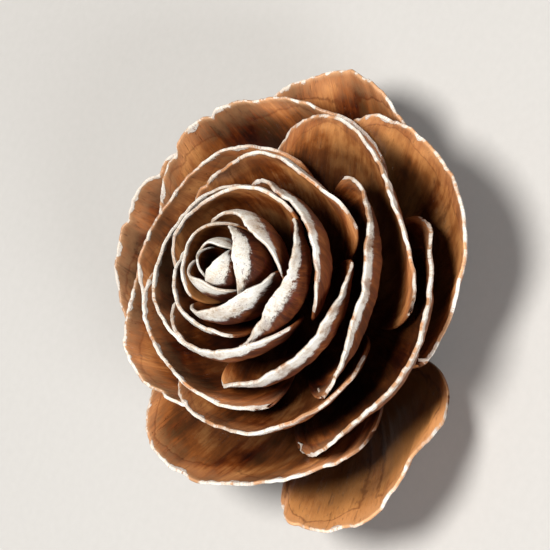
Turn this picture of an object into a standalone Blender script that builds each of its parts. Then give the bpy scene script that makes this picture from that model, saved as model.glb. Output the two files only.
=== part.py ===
"""A cedar rose: the tip of a deodar cone, whose woody scales stand open round a core like a rose's petals.

The scales sit on the core along one spiral, from the closed bud at the top down to the two broad
scales on whose bellies the rose rests. The origin is the centre of the core's broken end, +Z up.
Every scale is a thin sheet made by one rule, and all of them grow out of the core as one solid.
"""

import math
import random

import bmesh
import bpy
from mathutils import Vector

# Driving dimensions, in metres and radians
ROSE_RADIUS = 0.0318
ROSE_HEIGHT = 0.0325
LOW_RIM_HEIGHT = 0.0142
BUD_RIM_RADIUS = 0.0008
SCALE_COUNT = 29
SPIRAL_STEP = math.radians(137.508)
LOWEST_SCALE_TURN = math.radians(3.5)
SCALE_THICKNESS = 0.0010
RIM_THICKNESS_SHARE = 0.65

# One low scale has opened further than the rest and turned aside, and the lowest one is stunted
OPEN_SCALE = 27
OPEN_REACH = 0.0030
OPEN_DIP = 0.0020
OPEN_WIDTH_SHARE = 0.64
OPEN_TURN = math.radians(-6)
STUNTED_BY = 0.0030
STUNTED_WIDTH_SHARE = 0.8

# The core, which shows only at its broken end
CORE_TOP = 0.0225
CORE_END_RADIUS = 0.0032
CORE_RADIUS = 0.0041
CORE_TIP_RADIUS = 0.0012
CORE_SIDES = 14

# How the scales change from the bud to the lowest one
ROOT_TOP_HEIGHT = 0.0198
ROOT_LOW_HEIGHT = 0.0042
ROOT_DEPTH_SHARE = 0.45
ROOT_SLOPES = (math.radians(78), math.radians(-38))
RIM_SLOPES = (math.radians(130), math.radians(47))
HALF_WIDTHS = (math.radians(90), math.radians(60))
WIDTH_TURNING = 0.5
CLAW_WIDTH_SHARE = 0.46
FAN_OPEN_AT = 0.62
RIM_NARROWING = 0.13
SHOULDER_DROPS = (0.22, 0.34)
RIM_SPREAD = 1.18
RIM_TURNING = 1.7
RIM_FALL = 1.2
ROOT_HANDLE = 0.42
RIM_HANDLE = 0.34

# The irregular growth of the scales
GROWTH_SEED = 7487
TURN_JITTER = math.radians(10)
RIM_JITTER = 0.0011
LEAN = 0.0011
WAVES = (0.0002, 0.0009)
EDGE_WAVES = 0.022

# The lowest scales carry the rose, each pressed a little past the surface that it stands on
RESTING_SCALES = 2
REST_PRESS = 0.00025
SAG_STEPS = 24
MOST_SAG = 0.006
CUTTER_SIZE = 0.09

# Cells of a scale's sheet, across and along, for the bud, the middle and the outer scales
BUD_CELLS = (7, 5)
MIDDLE_CELLS = (10, 6)
OUTER_CELLS = (12, 7)
BUD_SCALES = 8
MIDDLE_SCALES = 16
COLUMN_CROWDING = 1.15

CONE_BROWN = (0.29, 0.13, 0.045, 1.0)
CONE_ROUGHNESS = 0.62


def mix(start, end, share):
    return start + (end - start) * share


def bezier(points, t):
    """A point on the cubic curve with these four control points."""
    a, b, c, d = points
    s = 1 - t
    return a * s**3 + b * 3 * s * s * t + c * 3 * s * t * t + d * t**3


def grown_scale(index, draw):
    """One scale's form: where it stands on the spiral, its middle profile and its own irregularities."""
    age = index / (SCALE_COUNT - 1)
    turn = LOWEST_SCALE_TURN - (SCALE_COUNT - 1 - index) * SPIRAL_STEP
    half_width = mix(*HALF_WIDTHS, age**WIDTH_TURNING)
    rim_radius = mix(BUD_RIM_RADIUS, ROSE_RADIUS, age**RIM_SPREAD)
    rim_height = mix(ROSE_HEIGHT, LOW_RIM_HEIGHT, age**RIM_FALL)
    root_height = mix(ROOT_TOP_HEIGHT, ROOT_LOW_HEIGHT, age)
    core_radius = mix(CORE_TIP_RADIUS, CORE_RADIUS, age)
    jitter = age**0.5
    rim_radius += draw.uniform(-RIM_JITTER, RIM_JITTER) * jitter
    rim_height += draw.uniform(-RIM_JITTER, RIM_JITTER) * jitter
    if index == OPEN_SCALE:
        rim_radius += OPEN_REACH
        rim_height -= OPEN_DIP
        half_width *= OPEN_WIDTH_SHARE
        turn += OPEN_TURN
    if index == SCALE_COUNT - 1:
        rim_radius -= STUNTED_BY
        half_width *= STUNTED_WIDTH_SHARE
    root = Vector((core_radius * ROOT_DEPTH_SHARE, root_height))
    rim = Vector((rim_radius, rim_height))
    length = math.dist(root, rim)
    root_slope = mix(*ROOT_SLOPES, age**0.8)
    rim_slope = mix(*RIM_SLOPES, age**RIM_TURNING)
    leaving = Vector((math.cos(root_slope), math.sin(root_slope)))
    arriving = Vector((math.cos(rim_slope), math.sin(rim_slope)))
    return {
        "age": age,
        "turn": turn + draw.uniform(-TURN_JITTER, TURN_JITTER) * jitter,
        "profile": (root, root + leaving * length * ROOT_HANDLE, rim - arriving * length * RIM_HANDLE, rim),
        "half_width": half_width,
        "shoulder_drop": mix(*SHOULDER_DROPS, age),
        "lean": draw.uniform(-LEAN, LEAN) * age,
        "wave": mix(*WAVES, age) * draw.uniform(0.6, 1.4),
        "wave_count": draw.uniform(1.0, 1.7),
        "wave_phase": draw.uniform(0, math.tau),
        "edge_phase": draw.uniform(0, math.tau),
        "sag": 0.0,
    }


def scale_point(scale, across, along):
    """A point of a scale's middle sheet: across runs from -1 to 1, along from 0 at the claw to 1 at the rim."""
    edge = 1 - scale["shoulder_drop"] * abs(across) ** 2.6
    edge += EDGE_WAVES * scale["age"] * math.sin(5.3 * across + scale["edge_phase"]) * (1 - across * across)
    reach = along * edge
    out = bezier(scale["profile"], reach)
    fan = mix(CLAW_WIDTH_SHARE, 1, math.sin(math.pi / 2 * min(1, along / FAN_OPEN_AT)))
    fan -= RIM_NARROWING * max(0, (along - FAN_OPEN_AT) / (1 - FAN_OPEN_AT)) ** 2
    turn = scale["turn"] + across * scale["half_width"] * fan
    fold = scale["wave"] * math.sin(math.pi * scale["wave_count"] * across + scale["wave_phase"]) * reach**1.5
    radius = out[0] + fold
    height = out[1] - 0.6 * fold * scale["age"] + scale["lean"] * across * reach**2
    height -= scale["sag"] * (4 * along * (1 - along)) ** 1.5
    return Vector((radius * math.cos(turn), radius * math.sin(turn), height))


def sheet_place(x, y):
    """Where a point of a plain grid, -1 to 1 both ways, lies on the scale: columns crowd to its sides."""
    return math.sin(x * COLUMN_CROWDING) / math.sin(COLUMN_CROWDING), (y + 1) / 2


def scale_grid(cells):
    """Where the sheet's points lie, as (across, along) pairs."""
    columns, rows = cells
    return [
        sheet_place(2 * i / columns - 1, 2 * j / rows - 1) for j in range(rows + 1) for i in range(columns + 1)
    ]


def settle(scale, cells):
    """Sags a resting scale until its belly presses a little below the surface."""
    aim = SCALE_THICKNESS / 2 - REST_PRESS
    low, high = 0.0, MOST_SAG
    for _ in range(SAG_STEPS):
        scale["sag"] = (low + high) / 2
        if min(scale_point(scale, *place)[2] for place in scale_grid(cells)) > aim:
            low = scale["sag"]
        else:
            high = scale["sag"]


def cells_of(index):
    if index < BUD_SCALES:
        return BUD_CELLS
    return MIDDLE_CELLS if index < MIDDLE_SCALES else OUTER_CELLS


def rose_scales():
    """Every scale's form, from the bud outwards."""
    draw = random.Random(GROWTH_SEED)
    scales = [grown_scale(index, draw) for index in range(SCALE_COUNT)]
    for index in range(SCALE_COUNT - RESTING_SCALES, SCALE_COUNT):
        settle(scales[index], cells_of(index))
    return scales


def build_scale(index, scale, collection):
    """The sheet of one scale, thickened, and thinner towards its rim."""
    columns, rows = cells_of(index)
    mesh = bpy.data.meshes.new(f"scale_{index:02d}")
    sheet = bmesh.new()
    bmesh.ops.create_grid(sheet, x_segments=columns, y_segments=rows, size=1)
    alongs = []
    for corner in sheet.verts:
        across, along = sheet_place(corner.co.x, corner.co.y)
        corner.co = scale_point(scale, across, along)
        alongs.append(along)
    bmesh.ops.triangulate(sheet, faces=sheet.faces)
    sheet.to_mesh(mesh)
    sheet.free()
    blade = bpy.data.objects.new(mesh.name, mesh)
    collection.objects.link(blade)
    body = blade.vertex_groups.new(name="thickness")
    for place, along in enumerate(alongs):
        body.add([place], mix(1, RIM_THICKNESS_SHARE, along), "REPLACE")
    thicken = blade.modifiers.new("thickness", "SOLIDIFY")
    thicken.thickness = SCALE_THICKNESS
    thicken.offset = 0
    thicken.vertex_group = body.name
    return blade


def build_core(collection):
    """The woody axis of the cone, a spindle with its lower end broken off flat."""
    outline = [
        (0, CORE_TOP),
        (CORE_TIP_RADIUS, CORE_TOP - 0.0012),
        (mix(CORE_TIP_RADIUS, CORE_RADIUS, 0.5), mix(CORE_TOP, 0, 0.4)),
        (CORE_RADIUS, mix(CORE_TOP, 0, 0.75)),
        (CORE_END_RADIUS, 0),
        (0, 0),
    ]
    mesh = bpy.data.meshes.new("rose_cone")
    mesh.from_pydata([(x, 0, z) for x, z in outline], [(i, i + 1) for i in range(len(outline) - 1)], [])
    core = bpy.data.objects.new("rose_cone", mesh)
    collection.objects.link(core)
    turn = core.modifiers.new("turned", "SCREW")
    turn.steps = turn.render_steps = CORE_SIDES
    turn.use_merge_vertices = True
    turn.merge_threshold = 0.00005
    turn.use_smooth_shade = True
    return core


def apply_modifiers(obj):
    graph = bpy.context.evaluated_depsgraph_get()
    made = bpy.data.meshes.new_from_object(obj.evaluated_get(graph))
    obj.modifiers.clear()
    obj.data = made


def join_scales(core, scales):
    """Fuses the scales into the core they grow from, and removes the loose ones."""
    join = core.modifiers.new("grown_together", "BOOLEAN")
    join.operation = "UNION"
    join.operand_type = "COLLECTION"
    join.collection = scales
    join.solver = "EXACT"
    apply_modifiers(core)
    for blade in list(scales.objects):
        bpy.data.objects.remove(blade)
    bpy.data.collections.remove(scales)


def flatten_underside(rose, cutters):
    """The flat spots on which the rose stands: what reaches below the surface is cut away."""
    mesh = bpy.data.meshes.new("surface_cutter")
    box = bmesh.new()
    bmesh.ops.create_cube(box, size=CUTTER_SIZE)
    box.to_mesh(mesh)
    box.free()
    cutter = bpy.data.objects.new("surface_cutter", mesh)
    cutter.location.z = -CUTTER_SIZE / 2
    cutter.hide_render = True
    cutter.display_type = "WIRE"
    cutters.objects.link(cutter)
    cut = rose.modifiers.new("standing_flats", "BOOLEAN")
    cut.operation = "DIFFERENCE"
    cut.object = cutter
    cut.solver = "EXACT"


def brown_wood():
    material = bpy.data.materials.new("cone_brown")
    material.use_nodes = True
    shader = material.node_tree.nodes["Principled BSDF"]
    shader.inputs["Base Color"].default_value = CONE_BROWN
    shader.inputs["Roughness"].default_value = CONE_ROUGHNESS
    shader.inputs["Metallic"].default_value = 0.0
    return material


def new_collection(name):
    collection = bpy.data.collections.new(name)
    bpy.context.scene.collection.children.link(collection)
    return collection


def main():
    for obj in list(bpy.data.objects):
        bpy.data.objects.remove(obj)
    cone, cutters, loose = map(new_collection, ("cedar_rose_cone", "cutters", "loose_scales"))
    rose = build_core(cone)
    for index, scale in enumerate(rose_scales()):
        build_scale(index, scale, loose)
    join_scales(rose, loose)
    flatten_underside(rose, cutters)
    rose.data.materials.clear()
    rose.data.materials.append(brown_wood())


main()
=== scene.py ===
"""A cedar rose as it looks: every woody scale in full detail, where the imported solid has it.

The scales follow the same rule as the solid's. Each is a closed sheet with a rounded rim, radial folds,
small nicks and a curled shoulder. One procedural finish colours them all from what a scale's points
know: how far they are from the rim and the sides, which face they are on, and how old the scale is.
"""

import math
import random

import bpy
import numpy as np
from mathutils import Matrix, Vector, noise


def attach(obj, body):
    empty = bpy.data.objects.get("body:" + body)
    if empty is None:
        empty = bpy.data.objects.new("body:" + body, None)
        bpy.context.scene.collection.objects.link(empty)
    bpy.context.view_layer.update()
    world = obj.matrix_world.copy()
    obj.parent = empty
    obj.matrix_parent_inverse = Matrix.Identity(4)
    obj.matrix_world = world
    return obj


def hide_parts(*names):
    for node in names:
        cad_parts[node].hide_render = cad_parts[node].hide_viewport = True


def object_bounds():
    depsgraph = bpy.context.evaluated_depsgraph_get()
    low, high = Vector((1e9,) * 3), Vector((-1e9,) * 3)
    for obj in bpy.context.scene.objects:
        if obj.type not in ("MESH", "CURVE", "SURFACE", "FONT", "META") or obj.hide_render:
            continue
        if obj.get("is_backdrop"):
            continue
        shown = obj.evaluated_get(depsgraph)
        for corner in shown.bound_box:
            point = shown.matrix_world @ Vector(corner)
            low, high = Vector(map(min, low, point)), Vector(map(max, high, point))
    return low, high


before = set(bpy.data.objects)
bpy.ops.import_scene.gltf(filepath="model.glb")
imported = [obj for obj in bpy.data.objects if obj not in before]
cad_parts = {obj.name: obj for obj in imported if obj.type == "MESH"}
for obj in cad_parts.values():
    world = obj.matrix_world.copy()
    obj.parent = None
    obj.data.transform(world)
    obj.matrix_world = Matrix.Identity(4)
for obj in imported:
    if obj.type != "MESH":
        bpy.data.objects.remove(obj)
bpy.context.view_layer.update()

MM = 0.001

# The solid's own dimensions, in metres and radians
ROSE_RADIUS = 0.0318
ROSE_HEIGHT = 0.0325
LOW_RIM_HEIGHT = 0.0142
BUD_RIM_RADIUS = 0.0008
SCALE_COUNT = 29
SPIRAL_STEP = math.radians(137.508)
LOWEST_SCALE_TURN = math.radians(3.5)
SCALE_THICKNESS = 0.0010
RIM_THICKNESS_SHARE = 0.65
OPEN_SCALE = 27
OPEN_REACH = 0.0030
OPEN_DIP = 0.0020
OPEN_WIDTH_SHARE = 0.64
OPEN_TURN = math.radians(-6)
STUNTED_BY = 0.0030
STUNTED_WIDTH_SHARE = 0.8
CORE_TOP = 0.0225
CORE_END_RADIUS = 0.0032
CORE_RADIUS = 0.0041
CORE_TIP_RADIUS = 0.0012
ROOT_TOP_HEIGHT = 0.0198
ROOT_LOW_HEIGHT = 0.0042
ROOT_DEPTH_SHARE = 0.45
ROOT_SLOPES = (math.radians(78), math.radians(-38))
RIM_SLOPES = (math.radians(130), math.radians(47))
HALF_WIDTHS = (math.radians(90), math.radians(60))
WIDTH_TURNING = 0.5
CLAW_WIDTH_SHARE = 0.46
FAN_OPEN_AT = 0.62
RIM_NARROWING = 0.13
SHOULDER_DROPS = (0.22, 0.34)
RIM_SPREAD = 1.18
RIM_TURNING = 1.7
RIM_FALL = 1.2
ROOT_HANDLE = 0.42
RIM_HANDLE = 0.34
GROWTH_SEED = 7487
TURN_JITTER = math.radians(10)
RIM_JITTER = 0.0011
LEAN = 0.0011
WAVES = (0.0002, 0.0009)
EDGE_WAVES = 0.022
RESTING_SCALES = 2
REST_PRESS = 0.00025
SAG_STEPS = 24
MOST_SAG = 0.006
OUTER_CELLS = (12, 7)
COLUMN_CROWDING = 1.15

# The sheet of a scale: how much longer its arc is than the straight line from claw to rim, and the
# size of its cells, in the bud and further out, and their lines' distances from an edge, in millimetres
ARC_SHARE = 1.12
CELLS = (0.28, 0.55)
EDGE_GAPS = (0.42, 0.22, 0.08, 0.0)

# What only the real surface has, and how much lighter the open scale is painted. Heights, depths and widths
# are in millimetres
RIM_WANDER = 0.38
NICK_COUNT = 4
NICK_DEPTH = 0.9
BULGE = 0.45
FOLD_HEIGHT = 0.16
CLAW_RIDGE_HEIGHT = 0.22
ROLLED_RIM = 0.55
CURLED_SHOULDER = 1.3
PARED_DEPTH = 1.8
PARED_RIM_SHARE = 0.72
YOUNG_THICKNESS_SHARE = 0.5
CLAW_SPAN_SHARE = 0.5
BAND_WIDTHS = (3.4, 0.8)
# Painted light on the open scale: its tone is raised so that it is painted lighter, standing in for the
# light that falls on it
OPEN_SCALE_PAINTED_LIGHT = 1.2
DETAIL_SEED = 3180

# Waves to the millimetre, across a scale and along it, of each kind of irregularity, and the step
# from one scale's pattern to the next one's. Along the rim they come in three sizes
SEED_STEP = 7.31
RIM_WAVES = (0.25, 0.9, 2.6)
BULGE_WAVES = (0.13, 0.13)
FOLD_WAVES = (0.55, 0.06)
FINE_FOLD_WAVES = (1.5, 0.12)

# The core: points round it, rings up it in all and in the fine stretch at its end, the waves and the
# depths of its ribs, and how far its torn end is rounded and hollowed
CORE_TURNS = 72
CORE_RINGS = 60
CORE_END_RINGS = 12
CORE_END_HEIGHT = 0.003
RIB_WAVES = (3.2, 9.0)
RIB_DEPTHS = (0.00022, 0.0001)
RIBS_START = 0.0006
CORE_LIP = 0.0002
CORE_LIP_SHARE = 0.97
TORN_SHARES = (0.9, 0.78, 0.64, 0.5, 0.36, 0.22, 0.1)
TORN_WAVES = 2600
TORN_DEPTH = 0.00055
PITH_SHARE = 0.35
PITH_DEPTH = 0.0007

# The photograph's viewpoint: degrees above the surface, and where the rose's axis points in the picture
VIEW_HEIGHT = math.radians(52)
AXIS_IN_PICTURE = math.radians(158)
LENS = 172
VIEW_DISTANCE = 0.345

# Each light's name, how far back, right and up in the picture it hangs, its size, watts and tint
LIGHTS = (
    ("key", (0.60, -0.44, 0.14), 0.3, 8.8, (1.0, 0.975, 0.94)),
    ("fill", (0.66, 0.30, -0.34), 0.3, 5.0, (0.96, 0.98, 1.0)),
)
ROOM_LIGHT = 0.10
FLOOR_REACH = 2.0
FLOOR_GAP = 0.0001


def mix(start, end, share):
    """The value at this share of the way from start to end."""
    return start + (end - start) * share


def smooth(low, high, value):
    """0 below low, 1 above high, with a soft passage between."""
    t = np.clip((value - low) / (high - low), 0, 1)
    return t * t * (3 - 2 * t)


def roughly(x, y, z):
    """Smooth noise between about -1 and 1 over arrays of places."""
    places = np.stack(np.broadcast_arrays(x, y, z), axis=-1).reshape(-1, 3)
    values = np.array([noise.noise(place) for place in places.tolist()])
    return values.reshape(np.broadcast(x, y, z).shape)


def grown_scale(index, draw):
    """One scale's form, as the solid has it: its place on the spiral, profile and irregularities."""
    age = index / (SCALE_COUNT - 1)
    turn = LOWEST_SCALE_TURN - (SCALE_COUNT - 1 - index) * SPIRAL_STEP
    half_width = mix(*HALF_WIDTHS, age**WIDTH_TURNING)
    rim_radius = mix(BUD_RIM_RADIUS, ROSE_RADIUS, age**RIM_SPREAD)
    rim_height = mix(ROSE_HEIGHT, LOW_RIM_HEIGHT, age**RIM_FALL)
    root_height = mix(ROOT_TOP_HEIGHT, ROOT_LOW_HEIGHT, age)
    core_radius = mix(CORE_TIP_RADIUS, CORE_RADIUS, age)
    jitter = age**0.5
    rim_radius += draw.uniform(-RIM_JITTER, RIM_JITTER) * jitter
    rim_height += draw.uniform(-RIM_JITTER, RIM_JITTER) * jitter
    if index == OPEN_SCALE:
        rim_radius += OPEN_REACH
        rim_height -= OPEN_DIP
        half_width *= OPEN_WIDTH_SHARE
        turn += OPEN_TURN
    if index == SCALE_COUNT - 1:
        rim_radius -= STUNTED_BY
        half_width *= STUNTED_WIDTH_SHARE
    root = np.array((core_radius * ROOT_DEPTH_SHARE, root_height))
    rim = np.array((rim_radius, rim_height))
    length = math.dist(root, rim)
    root_slope = mix(*ROOT_SLOPES, age**0.8)
    rim_slope = mix(*RIM_SLOPES, age**RIM_TURNING)
    leaving = np.array((math.cos(root_slope), math.sin(root_slope)))
    arriving = np.array((math.cos(rim_slope), math.sin(rim_slope)))
    return {
        "index": index,
        "age": age,
        "length": length,
        "turn": turn + draw.uniform(-TURN_JITTER, TURN_JITTER) * jitter,
        "profile": (root, root + leaving * length * ROOT_HANDLE, rim - arriving * length * RIM_HANDLE, rim),
        "half_width": half_width,
        "rim_radius": rim_radius,
        "shoulder_drop": mix(*SHOULDER_DROPS, age),
        "lean": draw.uniform(-LEAN, LEAN) * age,
        "wave": mix(*WAVES, age) * draw.uniform(0.6, 1.4),
        "wave_count": draw.uniform(1.0, 1.7),
        "wave_phase": draw.uniform(0, math.tau),
        "edge_phase": draw.uniform(0, math.tau),
        "sag": 0.0,
    }


def middle_sheet(scale, across, along, rim_cut=0.0):
    """Points of a scale's middle sheet, for arrays of across (-1 to 1) and along (0 claw to 1 rim)."""
    edge = 1 - scale["shoulder_drop"] * np.abs(across) ** 2.6
    edge = edge + EDGE_WAVES * scale["age"] * np.sin(5.3 * across + scale["edge_phase"]) * (1 - across**2)
    reach = along * (edge + rim_cut)
    a, b, c, d = scale["profile"]
    t = reach[..., None]
    s = 1 - t
    out = a * s**3 + b * 3 * s * s * t + c * 3 * s * t * t + d * t**3
    fan = mix(CLAW_WIDTH_SHARE, 1, np.sin(math.pi / 2 * np.minimum(1, along / FAN_OPEN_AT)))
    fan = fan - RIM_NARROWING * np.maximum(0, (along - FAN_OPEN_AT) / (1 - FAN_OPEN_AT)) ** 2
    turn = scale["turn"] + across * scale["half_width"] * fan
    wave = np.sin(math.pi * scale["wave_count"] * across + scale["wave_phase"])
    fold = scale["wave"] * wave * np.maximum(reach, 0) ** 1.5
    radius = out[..., 0] + fold
    height = out[..., 1] - 0.6 * fold * scale["age"] + scale["lean"] * across * reach**2
    height = height - scale["sag"] * (4 * along * (1 - along)) ** 1.5
    return np.stack((radius * np.cos(turn), radius * np.sin(turn), height), axis=-1)


def settle(scale):
    """Sags a resting scale as far as the solid's does, so that its belly meets the surface."""
    columns, rows = OUTER_CELLS
    x, y = np.meshgrid(np.linspace(-1, 1, columns + 1), np.linspace(0, 1, rows + 1))
    across = np.sin(x * COLUMN_CROWDING) / math.sin(COLUMN_CROWDING)
    aim = SCALE_THICKNESS / 2 - REST_PRESS
    low, high = 0.0, MOST_SAG
    for _ in range(SAG_STEPS):
        scale["sag"] = (low + high) / 2
        if middle_sheet(scale, across, y)[..., 2].min() > aim:
            low = scale["sag"]
        else:
            high = scale["sag"]


def rose_scales():
    """Every scale, from the bud's heart out, with the lowest ones sagged to the surface."""
    draw = random.Random(GROWTH_SEED)
    scales = [grown_scale(index, draw) for index in range(SCALE_COUNT)]
    for scale in scales[-RESTING_SCALES:]:
        settle(scale)
    return scales


def weathering(scale, draw):
    """What time did to one scale: its nicks, curls and how much pale resin is left along its rim, and its
    tone, which on the open scale is raised as painted light.
    """
    age = scale["age"]
    # Painted light: the open scale's tone is raised, painting it lighter as if lit
    painted_light = OPEN_SCALE_PAINTED_LIGHT if scale["index"] == OPEN_SCALE else 0.0
    nicks = []
    for _ in range(NICK_COUNT):
        place, width, depth = draw.uniform(-0.8, 0.8), draw.uniform(0.02, 0.06), draw.random()
        nicks.append((place, width, depth))
    return {
        "nicks": nicks,
        "rolled": draw.uniform(0.1, 1.0) * ROLLED_RIM * age,
        "curls": [(side, draw.uniform(-0.3, 1.0) * CURLED_SHOULDER * age) for side in (-1, 1)],
        "band": mix(*BAND_WIDTHS, age**0.8) * draw.uniform(0.8, 1.25),
        "band_centre": draw.uniform(-0.3, 0.3),
        "tone": draw.uniform(-1, 1) + painted_light,
    }


def spaced(size, cell, edge_gaps):
    """Places from 0 to 1 along a span of this size, in cells of about this one, closer at the far edge."""
    steps = max(4, round(size / cell))
    last = 1 - edge_gaps[0] / size
    places = [last * i / steps for i in range(steps + 1)]
    return places + [1 - gap / size for gap in edge_gaps[1:]]


def sheet_grid(half, length, age):
    """Across (-1 to 1) and along (0 claw to 1 rim) of every point of a scale, rows from the claw up."""
    cell = mix(*CELLS, min(1, age * 2.5))
    edge_gaps = [gap * min(1, half / 6) for gap in EDGE_GAPS]
    right = spaced(half, cell, edge_gaps)
    columns = np.array([-place for place in right[:0:-1]] + right)
    rows = np.array(spaced(length, cell, edge_gaps))
    return np.meshgrid(columns, rows)


def rim_outline(scale, wear, across, lateral):
    """How far the rim wanders outwards, with a few nicks, in millimetres."""
    seed = scale["index"] * SEED_STEP
    broad, middling, fine = RIM_WAVES
    wander = roughly(lateral * broad, seed, 0.0) + 0.5 * roughly(lateral * middling, seed, 3.0)
    wander = RIM_WANDER * (wander + 0.3 * roughly(lateral * fine, seed, 6.0))
    for place, width, depth in wear["nicks"]:
        wander = wander - NICK_DEPTH * depth * scale["age"] * np.exp(-(((across - place) / width) ** 2))
    return wander


def inward_normals(middle):
    """The sheet's normals, on the side that faces the bud."""
    normal = np.cross(np.gradient(middle, axis=0), np.gradient(middle, axis=1))
    normal /= np.linalg.norm(normal, axis=-1, keepdims=True) + 1e-12
    rows, columns = middle.shape[:2]
    away = (normal * middle)[rows // 2, columns // 2, :2].sum() > 0
    return -normal if away else normal


def relief(scale, wear, across, along, lateral, distance):
    """Bulges, folds from claw to rim, a rolled rim and a curled shoulder, in millimetres inwards."""
    age, seed = scale["age"], scale["index"] * SEED_STEP
    bulge = BULGE * age * roughly(lateral * BULGE_WAVES[0], distance * BULGE_WAVES[1], seed)
    folds = FOLD_HEIGHT * roughly(lateral * FOLD_WAVES[0], distance * FOLD_WAVES[1], seed + 5)
    fine_folds = roughly(lateral * FINE_FOLD_WAVES[0], distance * FINE_FOLD_WAVES[1], seed + 9)
    folds = folds + 0.5 * FOLD_HEIGHT * fine_folds
    near_rim = smooth(0.84, 1.0, along) ** 2
    outward = wear["rolled"] * near_rim * (0.6 + roughly(lateral * 0.2, seed, 8.0))
    for side, curl in wear["curls"]:
        outward = outward + curl * smooth(0.55, 1.0, across * side) * smooth(0.62, 1.0, along)
    return (bulge + folds) * smooth(0.1, 0.35, along) * min(1, age * 3 + 0.2) - outward


def scale_surface(scale, wear):
    """The two faces of a scale as grids of points, and what each point knows for the finish."""
    age, seed = scale["age"], scale["index"] * SEED_STEP
    half = scale["rim_radius"] / MM * scale["half_width"]
    length = scale["length"] / MM * ARC_SHARE
    across, along = sheet_grid(half, length, age)
    lateral, distance = across * half, along * length

    middle = middle_sheet(scale, across, along, rim_outline(scale, wear, across, lateral) / length)
    normal = inward_normals(middle)
    lift = relief(scale, wear, across, along, lateral, distance)
    middle = middle + normal * (lift * MM)[..., None]

    # Thickness falls towards the rim, is pared away at it, and rounds off at every edge
    from_side = (1 - np.abs(across)) * half * mix(CLAW_SPAN_SHARE, 1, along)
    from_rim = (1 - along) * length
    pared = mix(PARED_RIM_SHARE, 1, smooth(0, PARED_DEPTH, np.minimum(from_rim, from_side)))
    young = mix(YOUNG_THICKNESS_SHARE, 1, min(1, age * 3))
    thickness = SCALE_THICKNESS / MM / 2 * young * mix(1, RIM_THICKNESS_SHARE, along) * pared
    to_edge = np.minimum(np.minimum(from_side, from_rim), along * length) / thickness
    round_off = np.sqrt(1 - (1 - np.minimum(1, to_edge)) ** 2)
    ridge = CLAW_RIDGE_HEIGHT * roughly(across * 7, distance * 0.04, seed + 15)
    ridge = ridge * (1 - smooth(0.25, 0.8, along)) * min(1, age * 2)
    inner = middle + normal * (thickness * round_off * MM)[..., None]
    outer = middle - normal * ((thickness + ridge) * round_off * MM)[..., None]
    for face in (inner, outer):
        face[..., 2] = np.maximum(face[..., 2], 0)
    off_centre = across - wear["band_centre"] * (1 - across**2)
    lie = (lateral * mix(CLAW_SPAN_SHARE, 1, along), distance, np.full_like(across, seed * 3))
    knows = {
        "lie": np.stack(lie, axis=-1),
        "rim": from_rim,
        "across": across,
        "band": wear["band"] * (1 - 0.8 * off_centre**2),
        "side": np.minimum(1, to_edge),
    }
    return inner, outer, knows


def closed_sheet(name, inner, outer, knows, growth):
    """One mesh of both faces, which share the points of their outline."""
    rows, columns = inner.shape[:2]
    on_outline = np.zeros((rows, columns), bool)
    on_outline[[0, -1], :] = on_outline[:, [0, -1]] = True
    outer_index = np.arange(rows * columns).reshape(rows, columns)
    inner_index = outer_index.copy()
    inside = ~on_outline
    inner_index[inside] = rows * columns + np.arange(inside.sum())
    points = np.concatenate((outer.reshape(-1, 3), inner[inside]))
    quads = []
    for index, flip in ((outer_index, False), (inner_index, True)):
        quad = np.stack((index[:-1, :-1], index[:-1, 1:], index[1:, 1:], index[1:, :-1]), axis=-1)
        quads.append((quad[..., ::-1] if flip else quad).reshape(-1, 4))
    faces = np.concatenate(quads)
    mesh = bpy.data.meshes.new(name)
    mesh.from_pydata(points.tolist(), [], faces.tolist())

    def both(values, inner_sign=1):
        """The outer face's values and then the inner one's, in the order of the points."""
        inner_values = values[inside].reshape(inside.sum(), -1)
        return np.concatenate((values.reshape(rows * columns, -1), inner_sign * inner_values))

    edge = (both(knows["rim"]), both(knows["across"]), both(knows["side"], -1))
    flat_edge = np.concatenate(edge, axis=1)
    flat_growth = np.empty_like(flat_edge)
    flat_growth[:, 0], flat_growth[:, 1] = growth
    flat_growth[:, 2:] = both(knows["band"])
    for title, values in (("lie", both(knows["lie"])), ("edge", flat_edge), ("growth", flat_growth)):
        layer = mesh.attributes.new(title, "FLOAT_VECTOR", "POINT")
        layer.data.foreach_set("vector", values.astype(np.float32).ravel())
    mesh.shade_smooth()
    mesh.validate()
    return mesh


def facing_out(mesh):
    """True if the closed mesh's faces point outwards, by its signed volume."""
    mesh.calc_loop_triangles()
    corners = np.empty(len(mesh.vertices) * 3)
    mesh.vertices.foreach_get("co", corners)
    corners = corners.reshape(-1, 3)
    triangles = np.empty(len(mesh.loop_triangles) * 3, np.int32)
    mesh.loop_triangles.foreach_get("vertices", triangles)
    a, b, c = corners[triangles.reshape(-1, 3)].transpose(1, 0, 2)
    return (a * np.cross(b, c)).sum() > 0


def part_of_rose(name, mesh, material):
    """Puts a mesh in the scene as a piece of the rose, in its wood."""
    piece = bpy.data.objects.new(name, mesh)
    bpy.context.scene.collection.objects.link(piece)
    mesh.materials.append(material)
    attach(piece, "root")
    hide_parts("rose_cone")


def build_scales(material):
    """One mesh for each scale, weathered in its own way."""
    draw = random.Random(DETAIL_SEED)
    for scale in rose_scales():
        wear = weathering(scale, draw)
        inner, outer, knows = scale_surface(scale, wear)
        growth = (scale["age"], wear["tone"])
        mesh = closed_sheet(f"scale_{scale['index']:02d}", inner, outer, knows, growth)
        if not facing_out(mesh):
            mesh.flip_normals()
        part_of_rose(mesh.name, mesh, material)


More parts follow.
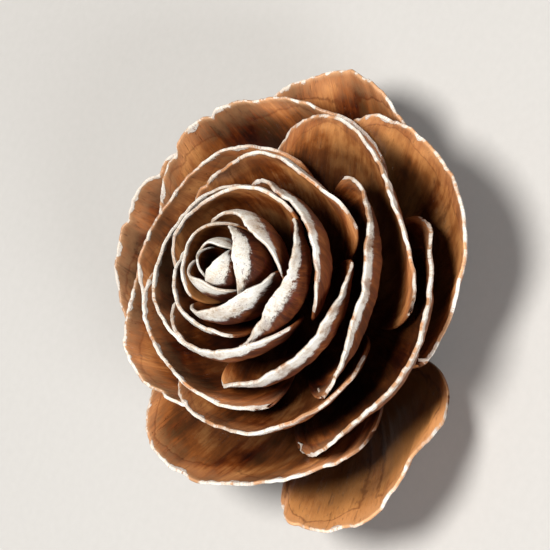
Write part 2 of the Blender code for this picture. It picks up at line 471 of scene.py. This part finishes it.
def core_wall():
    """Points of the core's ribbed wall, ring by ring from the end up."""
    outline = [
        (CORE_END_RADIUS * CORE_LIP_SHARE, 0.0),
        (CORE_END_RADIUS, CORE_LIP),
        (CORE_RADIUS, CORE_TOP * 0.25),
        (mix(CORE_TIP_RADIUS, CORE_RADIUS, 0.5), CORE_TOP * 0.6),
        (CORE_TIP_RADIUS, CORE_TOP - 0.0012),
        (CORE_TIP_RADIUS * 0.3, CORE_TOP),
    ]
    radii, heights = zip(*outline)
    end = np.linspace(0, CORE_END_HEIGHT, CORE_END_RINGS)
    shaft = np.linspace(CORE_END_HEIGHT * 1.2, CORE_TOP, CORE_RINGS - CORE_END_RINGS)
    z = np.concatenate((end, shaft))
    radius = np.interp(z, heights, radii)
    angle = np.arange(CORE_TURNS) * math.tau / CORE_TURNS
    x, y = np.cos(angle), np.sin(angle)
    ribs = roughly(x * RIB_WAVES[0], y * RIB_WAVES[0], 2.0) * RIB_DEPTHS[0]
    fine_ribs = roughly(x * RIB_WAVES[1], y * RIB_WAVES[1], 5.0) * RIB_DEPTHS[1]
    points = []
    for height, wide in zip(z, radius):
        reach = wide + (ribs + fine_ribs) * min(1, height / RIBS_START)
        points += [(r * math.cos(a), r * math.sin(a), height) for r, a in zip(reach, angle)]
    return points


def torn_ring(share):
    """A ring of the core's broken end, this share of the way out, hollowed round the pith."""
    ring = []
    reach = CORE_END_RADIUS * CORE_LIP_SHARE * share
    for i in range(CORE_TURNS):
        a = i * math.tau / CORE_TURNS
        x, y = reach * math.cos(a), reach * math.sin(a)
        torn = 0.5 + 0.5 * noise.noise((x * TORN_WAVES, y * TORN_WAVES, 1.0))
        torn_away = TORN_DEPTH * torn * min(1, (1 - share) * 4)
        depth = torn_away + PITH_DEPTH * max(0, 1 - share / PITH_SHARE)
        ring.append((x, y, depth))
    return ring


def build_core(material):
    """The woody axis, whose broken end shows from below: a spindle with a torn, fibrous end."""
    points = core_wall()
    following = [(i, (i + 1) % CORE_TURNS) for i in range(CORE_TURNS)]
    faces = []
    for low in range(0, (CORE_RINGS - 1) * CORE_TURNS, CORE_TURNS):
        high = low + CORE_TURNS
        faces += [(low + i, low + j, high + j, high + i) for i, j in following]
    faces.append(tuple(range((CORE_RINGS - 1) * CORE_TURNS, CORE_RINGS * CORE_TURNS)))
    last = 0
    for share in TORN_SHARES:
        ring = len(points)
        points += torn_ring(share)
        faces += [(last + j, last + i, ring + i, ring + j) for i, j in following]
        last = ring
    faces.append(tuple(range(last + CORE_TURNS - 1, last - 1, -1)))
    mesh = bpy.data.meshes.new("core")
    mesh.from_pydata(points, [], faces)
    mesh.shade_smooth()
    mesh.validate()
    if not facing_out(mesh):
        mesh.flip_normals()
    part_of_rose("core", mesh, material)


class Shade:
    """A value or colour that varies over a surface: one node's output, with arithmetic."""

    def __init__(self, finish, socket):
        self.finish = finish
        self.socket = socket

    def _reckon(self, operation, *values):
        sockets = [v.socket.type for v in values if isinstance(v, Shade)]
        if all(kind == "VALUE" for kind in sockets):
            return self.finish.node("ShaderNodeMath", {"operation": operation}, dict(enumerate(values)))
        wide = [v if isinstance(v, (Shade, tuple)) else (v, v, v) for v in values]
        return self.finish.node("ShaderNodeVectorMath", {"operation": operation}, dict(enumerate(wide)))

    def __add__(self, other):
        return self._reckon("ADD", self, other)

    def __sub__(self, other):
        return self._reckon("SUBTRACT", self, other)

    def __rsub__(self, other):
        return self._reckon("SUBTRACT", other, self)

    def __mul__(self, other):
        return self._reckon("MULTIPLY", self, other)

    def __truediv__(self, other):
        return self._reckon("DIVIDE", self, other)

    __radd__ = __add__
    __rmul__ = __mul__


class Finish:
    """A material's nodes, built from expressions."""

    def __init__(self, name):
        self.material = bpy.data.materials.new(name)
        self.material.use_nodes = True
        self.tree = self.material.node_tree
        self.shader = self.tree.nodes["Principled BSDF"]

    def node(self, kind, settings=None, sockets=None, output=0):
        """Any node: its settings first, then values or links for its sockets, by name or place."""
        made = self.tree.nodes.new(kind)
        for name, value in (settings or {}).items():
            if name == "stops":
                self._set_stops(made.color_ramp, value)
            else:
                setattr(made, name, value)
        for key, value in (sockets or {}).items():
            self.set(self._find(made.inputs, key), value)
        return Shade(self, self._find(made.outputs, output))

    @staticmethod
    def _find(sockets, key):
        if isinstance(key, int):
            return sockets[key]
        return next((s for s in sockets if s.identifier == key), None) or sockets[key]

    @staticmethod
    def _set_stops(ramp, stops):
        while len(ramp.elements) < len(stops):
            ramp.elements.new(0.5)
        for element, (place, colour) in zip(ramp.elements, stops):
            element.position = place
            element.color = (*colour, 1.0)

    def set(self, socket, value):
        """Links a varying value to a socket, or sets a plain one on it."""
        if isinstance(value, Shade):
            self.tree.links.new(value.socket, socket)
        elif isinstance(value, tuple) and len(value) == 3 and socket.type == "RGBA":
            socket.default_value = (*value, 1.0)
        else:
            socket.default_value = value

    def known(self, name):
        """What every point of a scale knows under this name, as a vector."""
        return self.node("ShaderNodeAttribute", {"attribute_name": name}, output="Vector")

    def numbers(self, vector):
        """A vector's three numbers."""
        return [self.node("ShaderNodeSeparateXYZ", sockets={0: vector}, output=i) for i in range(3)]

    def clouds(self, place, detail, size=1.0, roughness=0.55, stretch=None):
        """Soft noise, from 0 to 1 and mostly near a half, stretched or squeezed along each axis."""
        if stretch:
            place = place * stretch
        sockets = {"Vector": place, "Scale": size, "Detail": detail, "Roughness": roughness}
        return self.node("ShaderNodeTexNoise", sockets=sockets)

    def between(self, low, high, value):
        """0 below low and 1 above high, softly."""
        return self.node(
            "ShaderNodeMapRange",
            {"interpolation_type": "SMOOTHSTEP"},
            {"Value": value, "From Min": low, "From Max": high},
        )

    def size_of(self, value):
        """The value without its sign."""
        return self.node("ShaderNodeMath", {"operation": "ABSOLUTE"}, {0: value})

    def blend(self, first, second, share):
        """The first colour, with this share of the second over it."""
        return self.node(
            "ShaderNodeMix",
            {"data_type": "RGBA"},
            {"Factor_Float": share, "A_Color": first, "B_Color": second},
            output="Result_Color",
        )

    def ramp(self, value, tones):
        """A colour for each value, from screen colours at some of them."""
        stops = [(place, colour(*tone)) for place, tone in tones]
        return self.node("ShaderNodeValToRGB", {"stops": stops}, {0: value}, output="Color")

    def bump(self, height, distance, strength, over=None):
        """A normal that makes heights of 0 to 1 look this deep, in metres, over another one if given."""
        sockets = {"Height": height, "Distance": distance, "Strength": strength}
        if over is not None:
            sockets["Normal"] = over
        return self.node("ShaderNodeBump", sockets=sockets, output="Normal")


def colour(red, green, blue):
    """Screen colour, 0 to 255, as the linear one that the shader takes."""
    return tuple((v / 255) ** 2.2 for v in (red, green, blue))


class ScaleWood(Finish):
    """Chestnut wood: smooth amber inside, felted brown outside, pale resin along the rim."""

    INNER_TONES = ((0.32, (44, 17, 6)), (0.43, (88, 38, 13)), (0.54, (142, 74, 31)), (0.70, (210, 142, 84)))
    OUTER_TONES = ((0.36, (44, 18, 8)), (0.46, (86, 40, 16)), (0.56, (132, 72, 34)), (0.68, (186, 124, 76)))
    RESIN_TONES = (
        (0.34, (142, 110, 80)),
        (0.43, (198, 182, 162)),
        (0.51, (224, 219, 209)),
        (0.62, (240, 239, 235)),
    )

    def __init__(self):
        super().__init__("scale_wood")
        lie = self.known("lie")
        self.rim, self.across, self.side = self.numbers(self.known("edge"))
        self.age, self.tone, self.band = self.numbers(self.known("growth"))
        self.streaks = self.clouds(lie, detail=3.0, stretch=(1.5, 0.10, 1.0))
        self.fibres = self.clouds(lie, detail=5.0, roughness=0.62, stretch=(6.0, 0.40, 1.0))
        self.patches = self.clouds(lie, detail=2.0, stretch=(0.16, 0.14, 1.0))
        self.mottle = self.clouds(lie, detail=5.0, roughness=0.65, stretch=(0.8, 0.6, 1.0))
        self.grains = self.clouds(lie, detail=3.0, roughness=0.65, stretch=(7.0, 6.0, 1.0))
        self.thin = self.clouds(lie, detail=3.0, stretch=(0.35, 0.35, 1.0))
        self.cracking = self.clouds(lie, detail=2.0, stretch=(1.7, 0.09, 1.0))
        self.outside = self.between(-0.15, 0.15, self.side)

        cracks, crumbs = self.cracks(), self.crumbs()
        wood = self.blend(self.inner_face(), self.outer_face(), self.outside)
        wood = self.wear_and_rim_highlight(wood, cracks, crumbs)
        pale = self.resin_cover()
        resin_tone = self.grains * 0.40 + self.mottle * 0.35 + self.thin * 0.25
        look = self.blend(wood, self.ramp(resin_tone, self.RESIN_TONES), pale)
        self.set(self.shader.inputs["Base Color"], look)
        rough = 0.38 + self.outside * 0.2 + pale * 0.12 + (self.grains - 0.5) * 0.2
        self.set(self.shader.inputs["Roughness"], rough)
        felted = self.fibres * 0.35 * (0.4 + self.outside * 0.6) + self.grains * 0.25 * self.outside
        heights = self.streaks * 0.32 + felted - cracks * 0.25 + crumbs * 0.3
        normal = self.bump(heights, 0.00024, 0.8)
        self.set(self.shader.inputs["Normal"], self.bump(pale, 0.00010, 0.6, over=normal))

    def cracks(self):
        """Hair cracks that run with the grain."""
        off_crack = self.size_of(self.cracking - 0.5)
        return (1 - self.between(0.0, 0.013, off_crack)) * self.between(0.46, 0.58, self.mottle)

    def crumbs(self):
        """Small pale crumbs that lie about."""
        return self.between(0.665, 0.70, self.grains * 0.6 + self.thin * 0.2 + self.mottle * 0.2)

    def inner_face(self):
        """Smooth amber in broad patches, faintly streaked, paler at the rim, partly in tone and partly as a
        painted highlight, and dark towards the claw, partly in tone and partly as painted shade between the
        scales.
        """
        old = self.age * self.age
        shading = self.patches * 0.80 + self.streaks * 0.26 + self.mottle * 0.34 + self.fibres * 0.20
        amber = self.ramp(shading + self.tone * 0.13 - 0.31, self.INNER_TONES)
        russet = self.between(0.54, 0.68, self.mottle * 0.5 + self.streaks * 0.5)
        amber = self.blend(amber, colour(116, 42, 18), russet * 0.45)
        # Paler tan towards the rim: partly the wood's own tone, partly a painted highlight where light
        # catches the rim zone
        near_rim = 1 - self.between(0.0, 5.5, self.rim + (self.mottle - 0.5) * 5.0)
        near_rim = near_rim * (0.10 + self.age * 0.46) * (0.3 + self.patches)
        amber = self.blend(amber, colour(216, 158, 110), near_rim)

        # Two pale prints where the seed wings lay, a darker line round each
        off_middle = self.size_of(self.size_of(self.across) - 0.46)
        wing_edge = off_middle + (self.mottle - 0.5) * 0.16 + self.between(0.0, 4.0, 4.5 - self.rim) * 0.4
        wing_print = 1 - self.between(0.34, 0.40, wing_edge)
        print_line = 1 - self.between(0.0, 0.035, self.size_of(wing_edge - 0.38))
        print_share = wing_print * old * (0.06 + self.patches * 0.5) * (0.6 + self.tone * 0.5)
        amber = self.blend(amber, colour(212, 148, 86), print_share)
        amber = self.blend(amber, colour(92, 42, 18), print_line * old * 0.55)
        # Darker towards the claw: partly the wood's own darker brown, partly painted shade deep between the
        # scales
        dark_wood_and_shade = self.between(1.5, 9.0, self.rim)
        return self.blend(amber, colour(24, 9, 4), dark_wood_and_shade * (0.95 - self.age * 0.25))

    def outer_face(self):
        """Chestnut felt, redder in patches, dusty on old scales and dark towards the claw, partly in tone
        and partly as painted shade under the overlapping scales.
        """
        shading = self.patches * 0.35 + self.streaks * 0.28 + self.fibres * 0.28 + self.grains * 0.14
        felt = self.ramp(shading + self.tone * 0.03 - 0.03, self.OUTER_TONES)
        felt = self.blend(felt, colour(112, 44, 34), self.between(0.52, 0.66, self.mottle) * 0.6)
        felt = self.blend(felt, colour(178, 134, 96), self.age * self.age * self.age * 0.35)
        # Darker towards the claw: partly the felt's own darker brown, partly painted shade under the
        # overlapping scales
        dark_wood_and_shade = self.between(6.0, 22.0, self.rim)
        return self.blend(felt, colour(48, 21, 10), dark_wood_and_shade * (0.7 - self.age * 0.35))

    def wear_and_rim_highlight(self, wood, cracks, crumbs):
        """The wood with its dark cracks and pores, its crumbs, and a painted highlight in tan along its
        rim.
        """
        pores = self.between(0.60, 0.68, self.grains * 0.75 + self.fibres * 0.25)
        wood = self.blend(wood, colour(38, 16, 8), cracks * 0.36 + pores * 0.4)
        wood = self.blend(wood, colour(232, 206, 172), crumbs * 0.6)
        # Painted highlight: a narrow tan band along the rim, where light catches the edge
        rim_highlight = 1 - self.between(0.1, 0.9, self.rim + (self.fibres - 0.5) * 1.2)
        return self.blend(wood, colour(214, 166, 124), rim_highlight * (0.15 + self.age * 0.4))

    def resin_cover(self):
        """Where pale resin lies: a ragged band under the outer rim, and a broken line on the rim."""
        grains, mottle, thin, age = self.grains, self.mottle, self.thin, self.age
        young = (1 - age) * (1 - age)
        ragged = (grains - 0.5) * 0.7 + (mottle - 0.5) * 1.5 + (self.fibres - 0.5) * 0.6
        past_band = (self.rim - self.band * (1.0 + ragged)) / (self.band + 0.3)
        on_band = 1 - self.between(-0.10, 0.16, past_band)
        line_width = young * 0.7 - age * 0.08 + (thin - 0.43) * 3.4 + (mottle - 0.5) * 0.8
        line_width = line_width + (grains - 0.5) * 0.4
        on_line = 1 - self.between(-0.06, 0.10, self.rim - line_width)
        kept = self.between(0.38, 0.54, thin * 0.72 + mottle * 0.28 - self.tone * 0.03)
        under_rim = self.between(age * 0.3 - 0.15, age * 0.5 + 0.15, self.side)
        pale = (on_line + (on_band - on_line) * under_rim) * (1 - age * (1 - kept))
        flecks = self.between(0.54, 0.65, grains * 0.5 + mottle * 0.5)
        return pale * (1 - flecks * 0.85) * (1.0 - (1 - self.outside) * 0.2)


def core_wood():
    """Torn, fibrous wood of the broken core."""
    finish = Finish("core_wood")
    place = finish.node("ShaderNodeTexCoord", output="Object")
    fibres = finish.clouds(place, detail=4.0, stretch=(2600.0, 2600.0, 260.0))
    pith = finish.clouds(place, detail=3.0, stretch=(700.0, 700.0, 700.0))
    tones = ((0.30, (58, 32, 17)), (0.48, (128, 84, 46)), (0.68, (188, 146, 98)))
    finish.set(finish.shader.inputs["Base Color"], finish.ramp(fibres * 0.6 + pith * 0.4, tones))
    finish.shader.inputs["Roughness"].default_value = 0.8
    finish.set(finish.shader.inputs["Normal"], finish.bump(fibres, 0.0003, 0.8))
    return finish.material


def pale_paper():
    """Plain pale paper for the floor, with a faint tooth."""
    finish = Finish("pale_paper")
    place = finish.node("ShaderNodeTexCoord", output="Object")
    tooth = finish.clouds(place, size=900.0, detail=2.0)
    look = finish.blend(colour(176, 174, 171), colour(182, 180, 177), tooth)
    finish.set(finish.shader.inputs["Base Color"], look)
    finish.shader.inputs["Roughness"].default_value = 0.9
    return finish.material


def lay_floor():
    """A wide sheet of paper just under the rose."""
    mesh = bpy.data.meshes.new("floor")
    corners = [(x * FLOOR_REACH, y * FLOOR_REACH, 0) for x, y in ((-1, -1), (1, -1), (1, 1), (-1, 1))]
    mesh.from_pydata(corners, [], [(0, 1, 2, 3)])
    mesh.materials.append(pale_paper())
    floor = bpy.data.objects.new("floor", mesh)
    floor.location.z = -FLOOR_GAP
    bpy.context.scene.collection.objects.link(floor)
    floor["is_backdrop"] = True


def camera_axes():
    """The picture's right and up directions and the way back to the camera, in the world."""
    back = Vector((0, -math.cos(VIEW_HEIGHT), math.sin(VIEW_HEIGHT)))
    right = Vector((1, 0, 0))
    up = back.cross(right)
    roll = AXIS_IN_PICTURE - math.pi / 2
    return (
        right * math.cos(roll) - up * math.sin(roll),
        right * math.sin(roll) + up * math.cos(roll),
        back,
    )


def aim_at(obj, place, target):
    """Moves an object to a place and turns it to face the target."""
    obj.location = place
    obj.rotation_mode = "QUATERNION"
    obj.rotation_quaternion = (target - place).to_track_quat("-Z", "Y")


def set_camera(target):
    """The photograph's view of the target."""
    right, up, back = camera_axes()
    camera = bpy.data.objects.new("camera", bpy.data.cameras.new("camera"))
    bpy.context.scene.collection.objects.link(camera)
    camera.data.lens = LENS
    turned = Matrix((right, up, back)).transposed().to_4x4()
    camera.matrix_world = Matrix.Translation(target + back * VIEW_DISTANCE) @ turned
    bpy.context.scene.camera = camera


def soft_light(name, place, target, size, power, tint):
    """A round, soft lamp that faces the target."""
    lamp = bpy.data.lights.new(name, "AREA")
    lamp.shape = "DISK"
    lamp.size = size
    lamp.energy = power
    lamp.color = tint
    obj = bpy.data.objects.new(name, lamp)
    bpy.context.scene.collection.objects.link(obj)
    aim_at(obj, place, target)


def light_studio(target):
    """The lamps round the target, a faint even light from all sides and plain screen colours."""
    right, up, back = camera_axes()
    for name, (behind, aside, above), size, power, tint in LIGHTS:
        place = target + (back * behind + right * aside + up * above)
        soft_light(name, place, target, size, power, tint)
    world = bpy.data.worlds.new("studio")
    world.use_nodes = True
    sky = world.node_tree.nodes["Background"]
    sky.inputs["Color"].default_value = (1, 1, 1, 1)
    sky.inputs["Strength"].default_value = ROOM_LIGHT
    bpy.context.scene.world = world
    view = bpy.context.scene.view_settings
    view.view_transform = "Standard"
    view.look = "None"


def main():
    build_scales(ScaleWood().material)
    build_core(core_wood())
    lay_floor()
    low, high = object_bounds()
    middle = (low + high) / 2
    set_camera(middle)
    light_studio(middle)


main()
